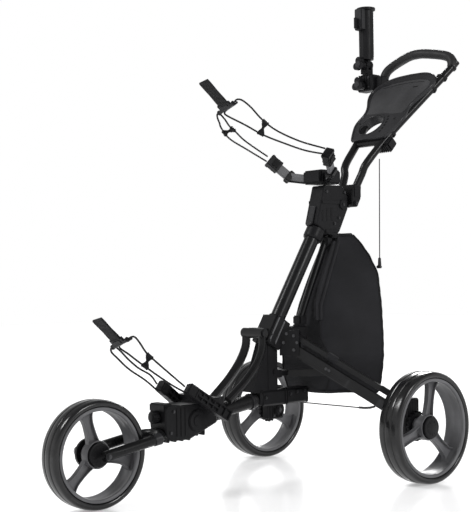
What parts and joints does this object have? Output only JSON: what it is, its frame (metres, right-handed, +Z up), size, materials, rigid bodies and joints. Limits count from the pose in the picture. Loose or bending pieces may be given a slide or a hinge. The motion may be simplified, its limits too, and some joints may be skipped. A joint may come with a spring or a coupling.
{
  "type": "golf push cart",
  "caption": "Folding golf push cart with padded cradles and elastic straps for a golf bag, a console, an umbrella holder, a foot brake and a fabric pouch.",
  "frame": {"origin": "on the ground, midway between the front tyre and the handle and midway between the rear tyres", "axes": "+Z up; the cart rolls forwards towards -Y; +X is the left side of the cart; lengths in metres"},
  "size_m": [0.654, 1.2348, 1.285],
  "materials": {
    "front_tyre": "satin",
    "front_rim": "satin",
    "front_hub_cap": "matte",
    "front_axle": "brushed",
    "left_tyre": "satin",
    "left_rim": "satin",
    "left_hub_cap": "matte",
    "left_axle": "brushed",
    "right_tyre": "satin",
    "right_rim": "satin",
    "right_hub_cap": "matte",
    "right_axle": "brushed",
    "front_tube": "gloss",
    "front_fork": "gloss",
    "guard_rails": "gloss",
    "main_post": "gloss",
    "rear_strut": "gloss",
    "left_leg": "gloss",
    "right_leg": "gloss",
    "left_link": "gloss",
    "right_link": "gloss",
    "left_spreader": "gloss",
    "right_spreader": "gloss",
    "handle_frame": "gloss",
    "crown_block": "matte",
    "tracking_knob": "matte",
    "lower_bag_bracket": "matte",
    "lower_strap_bar": "matte",
    "lower_cord_clip": "matte",
    "left_axle_bracket": "matte",
    "right_axle_bracket": "matte",
    "spreader_slider": "matte",
    "brake_pedal": "matte",
    "brake_arm": "matte",
    "post_hub": "matte",
    "upper_housing": "matte",
    "handle_latch": "matte",
    "upper_bag_bracket": "matte",
    "upper_strap_bar": "matte",
    "upper_cord_clip_left": "matte",
    "upper_cord_clip_right": "matte",
    "handle_hinge": "matte",
    "console": "matte",
    "umbrella_clamp": "matte",
    "clamp_knob": "matte",
    "umbrella_knuckle": "matte",
    "knuckle_knob": "matte",
    "umbrella_barrel": "matte",
    "umbrella_wing_screw": "matte",
    "console_lid": "satin",
    "handle_grip": "matte",
    "lower_strap_tab": "woven",
    "upper_strap_tab": "woven",
    "storage_pouch": "woven",
    "lower_cord_left": "matte",
    "lower_cord_right": "matte",
    "upper_cord_left": "matte",
    "upper_cord_right": "matte",
    "pouch_elastic": "matte",
    "brake_cable": "matte"
  },
  "bodies": {
    "frame": {"front_tube": "front_tube", "guard_rails": "guard_rails", "main_post": "main_post", "post_hub": "post_hub", "upper_housing": "upper_housing", "rear_strut": "rear_strut", "upper_bag_bracket": "upper_bag_bracket", "upper_strap_tab": "upper_strap_tab", "upper_strap_bar": "upper_strap_bar", "upper_cord_left": "upper_cord_left", "upper_cord_right": "upper_cord_right", "upper_cord_clip_left": "upper_cord_clip_left", "upper_cord_clip_right": "upper_cord_clip_right", "storage_pouch": "storage_pouch", "pouch_elastic": "pouch_elastic", "brake_cable": "brake_cable"},
    "front_arm": {"crown_block": "crown_block", "front_fork": "front_fork", "front_axle": "front_axle", "lower_bag_bracket": "lower_bag_bracket", "lower_strap_tab": "lower_strap_tab", "lower_strap_bar": "lower_strap_bar", "lower_cord_left": "lower_cord_left", "lower_cord_right": "lower_cord_right", "lower_cord_clip": "lower_cord_clip"},
    "tracking_knob": {"tracking_knob": "tracking_knob"},
    "front_wheel": {"front_tyre": "front_tyre", "front_rim": "front_rim", "front_hub_cap": "front_hub_cap"},
    "left_leg": {"left_leg": "left_leg"},
    "right_leg": {"right_leg": "right_leg"},
    "left_link": {"left_link": "left_link"},
    "right_link": {"right_link": "right_link"},
    "left_axle_bracket": {"left_axle_bracket": "left_axle_bracket", "left_axle": "left_axle"},
    "right_axle_bracket": {"right_axle_bracket": "right_axle_bracket", "right_axle": "right_axle"},
    "left_wheel": {"left_tyre": "left_tyre", "left_rim": "left_rim", "left_hub_cap": "left_hub_cap"},
    "right_wheel": {"right_tyre": "right_tyre", "right_rim": "right_rim", "right_hub_cap": "right_hub_cap"},
    "left_spreader": {"left_spreader": "left_spreader"},
    "right_spreader": {"right_spreader": "right_spreader"},
    "spreader_slider": {"spreader_slider": "spreader_slider"},
    "brake_pedal": {"brake_pedal": "brake_pedal"},
    "brake_arm": {"brake_arm": "brake_arm"},
    "handle": {"handle_hinge": "handle_hinge", "handle_frame": "handle_frame", "handle_grip": "handle_grip", "console": "console", "umbrella_clamp": "umbrella_clamp"},
    "handle_latch": {"handle_latch": "handle_latch"},
    "console_lid": {"console_lid": "console_lid"},
    "clamp_knob": {"clamp_knob": "clamp_knob"},
    "umbrella_knuckle": {"umbrella_knuckle": "umbrella_knuckle"},
    "knuckle_knob": {"knuckle_knob": "knuckle_knob"},
    "umbrella_barrel": {"umbrella_barrel": "umbrella_barrel"},
    "umbrella_wing_screw": {"umbrella_wing_screw": "umbrella_wing_screw"}
  },
  "joints": [
    {"name": "left_leg_fold", "type": "hinge", "parent": "frame", "child": "left_leg", "pos_m": [0.045, 0.06522, 0.322], "axis": [-0.5824, 0.8129, 0], "range_deg": [0, 30], "deforming": ["brake_cable"]},
    {"name": "right_leg_fold", "type": "hinge", "parent": "frame", "child": "right_leg", "pos_m": [-0.045, 0.06522, 0.322], "axis": [-0.5824, -0.8129, 0], "range_deg": [0, 30]},
    {"name": "left_link_fold", "type": "hinge", "parent": "frame", "child": "left_link", "pos_m": [0.045, 0.06522, 0.357], "axis": [-0.5824, 0.8129, 0], "range_deg": [0, 30]},
    {"name": "right_link_fold", "type": "hinge", "parent": "frame", "child": "right_link", "pos_m": [-0.045, 0.06522, 0.357], "axis": [-0.5824, -0.8129, 0], "range_deg": [0, 30]},
    {"name": "left_bracket_pivot", "type": "hinge", "parent": "left_leg", "child": "left_axle_bracket", "pos_m": [0.246, 0.20922, 0.172], "axis": [-0.5824, 0.8129, 0], "range_deg": [-30, 0]},
    {"name": "right_bracket_pivot", "type": "hinge", "parent": "right_leg", "child": "right_axle_bracket", "pos_m": [-0.246, 0.20922, 0.172], "axis": [-0.5824, -0.8129, 0], "range_deg": [-30, 0]},
    {"name": "left_spreader_pivot", "type": "hinge", "parent": "left_leg", "child": "left_spreader", "pos_m": [0.1008, 0.12488, 0.266], "axis": [-0.5824, 0.8129, 0], "range_deg": [0, 26.82]},
    {"name": "right_spreader_pivot", "type": "hinge", "parent": "right_leg", "child": "right_spreader", "pos_m": [-0.1008, 0.12488, 0.266], "axis": [-0.5824, -0.8129, 0], "range_deg": [0, 26.82]},
    {"name": "slider_travel", "type": "slide", "parent": "frame", "child": "spreader_slider", "axis": [0, 0, 1], "range_m": [0, 0.0476]},
    {"name": "left_wheel_spin", "type": "hinge", "parent": "left_axle_bracket", "child": "left_wheel", "pos_m": [0.2955, 0.25822, 0.135], "axis": [1, 0, 0], "continuous": true},
    {"name": "right_wheel_spin", "type": "hinge", "parent": "right_axle_bracket", "child": "right_wheel", "pos_m": [-0.2955, 0.25822, 0.135], "axis": [1, 0, 0], "continuous": true},
    {"name": "front_wheel_spin", "type": "hinge", "parent": "front_arm", "child": "front_wheel", "pos_m": [0, -0.49738, 0.12], "axis": [1, 0, 0], "continuous": true},
    {"name": "front_arm_fold", "type": "hinge", "parent": "frame", "child": "front_arm", "pos_m": [0, -0.17178, 0.212], "axis": [-1, 0, 0], "range_deg": [0, 90]},
    {"name": "tracking_adjust", "type": "hinge", "parent": "front_arm", "child": "tracking_knob", "pos_m": [0, -0.32678, 0.186], "axis": [0, -1, 0], "range_deg": [0, 360]},
    {"name": "brake_press", "type": "hinge", "parent": "left_axle_bracket", "child": "brake_pedal", "pos_m": [0.246, 0.28472, 0.1265], "axis": [-1, 0, 0], "range_deg": [0, 20]},
    {"name": "brake_follow", "type": "hinge", "parent": "right_axle_bracket", "child": "brake_arm", "pos_m": [-0.246, 0.22622, 0.1495], "axis": [-1, 0, 0], "range_deg": [0, 20]},
    {"name": "handle_fold", "type": "hinge", "parent": "frame", "child": "handle", "pos_m": [0, 0.29922, 0.693], "axis": [-1, 0, 0], "range_deg": [0, 155], "deforming": ["storage_pouch", "pouch_elastic"]},
    {"name": "handle_latch_lever", "type": "hinge", "parent": "frame", "child": "handle_latch", "pos_m": [0, 0.17929, 0.68503], "axis": [-1, 0, 0], "range_deg": [0, 25], "stiffness_Nm_per_rad": 0.4, "springref_deg": -17.19},
    {"name": "lid_hinge", "type": "hinge", "parent": "handle", "child": "console_lid", "pos_m": [0, 0.55081, 1.04843], "axis": [-1, 0, 0], "range_deg": [0, 100]},
    {"name": "clamp_knob_turn", "type": "hinge", "parent": "handle", "child": "clamp_knob", "pos_m": [-0.16, 0.54122, 1.057], "axis": [0, -1, 0], "range_deg": [0, 360]},
    {"name": "umbrella_swivel", "type": "hinge", "parent": "handle", "child": "umbrella_knuckle", "pos_m": [-0.165, 0.56522, 1.085], "axis": [0, 0, -1], "range_deg": [-90, 90]},
    {"name": "knuckle_knob_turn", "type": "hinge", "parent": "umbrella_knuckle", "child": "knuckle_knob", "pos_m": [-0.165, 0.55222, 1.118], "axis": [0, -1, 0], "range_deg": [0, 360]},
    {"name": "umbrella_tilt", "type": "hinge", "parent": "umbrella_knuckle", "child": "umbrella_barrel", "pos_m": [-0.165, 0.56522, 1.118], "axis": [0, 1, 0], "range_deg": [-75, 75]},
    {"name": "wing_screw_turn", "type": "hinge", "parent": "umbrella_barrel", "child": "umbrella_wing_screw", "pos_m": [-0.165, 0.52622, 1.236], "axis": [0, -1, 0], "range_deg": [0, 360]}
  ],
  "couplings": [
    {"joint": "right_leg_fold", "follows": "left_leg_fold", "ratio": 1},
    {"joint": "left_link_fold", "follows": "left_leg_fold", "ratio": 1},
    {"joint": "right_link_fold", "follows": "left_leg_fold", "ratio": 1},
    {"joint": "left_bracket_pivot", "follows": "left_leg_fold", "ratio": -1},
    {"joint": "right_bracket_pivot", "follows": "left_leg_fold", "ratio": -1},
    {"joint": "left_spreader_pivot", "follows": "left_leg_fold", "ratio": 0.8923},
    {"joint": "right_spreader_pivot", "follows": "left_leg_fold", "ratio": 0.8923},
    {"joint": "slider_travel", "follows": "left_leg_fold", "m_per_rad": 0.09003},
    {"joint": "brake_follow", "follows": "brake_press", "ratio": 1}
  ]
}
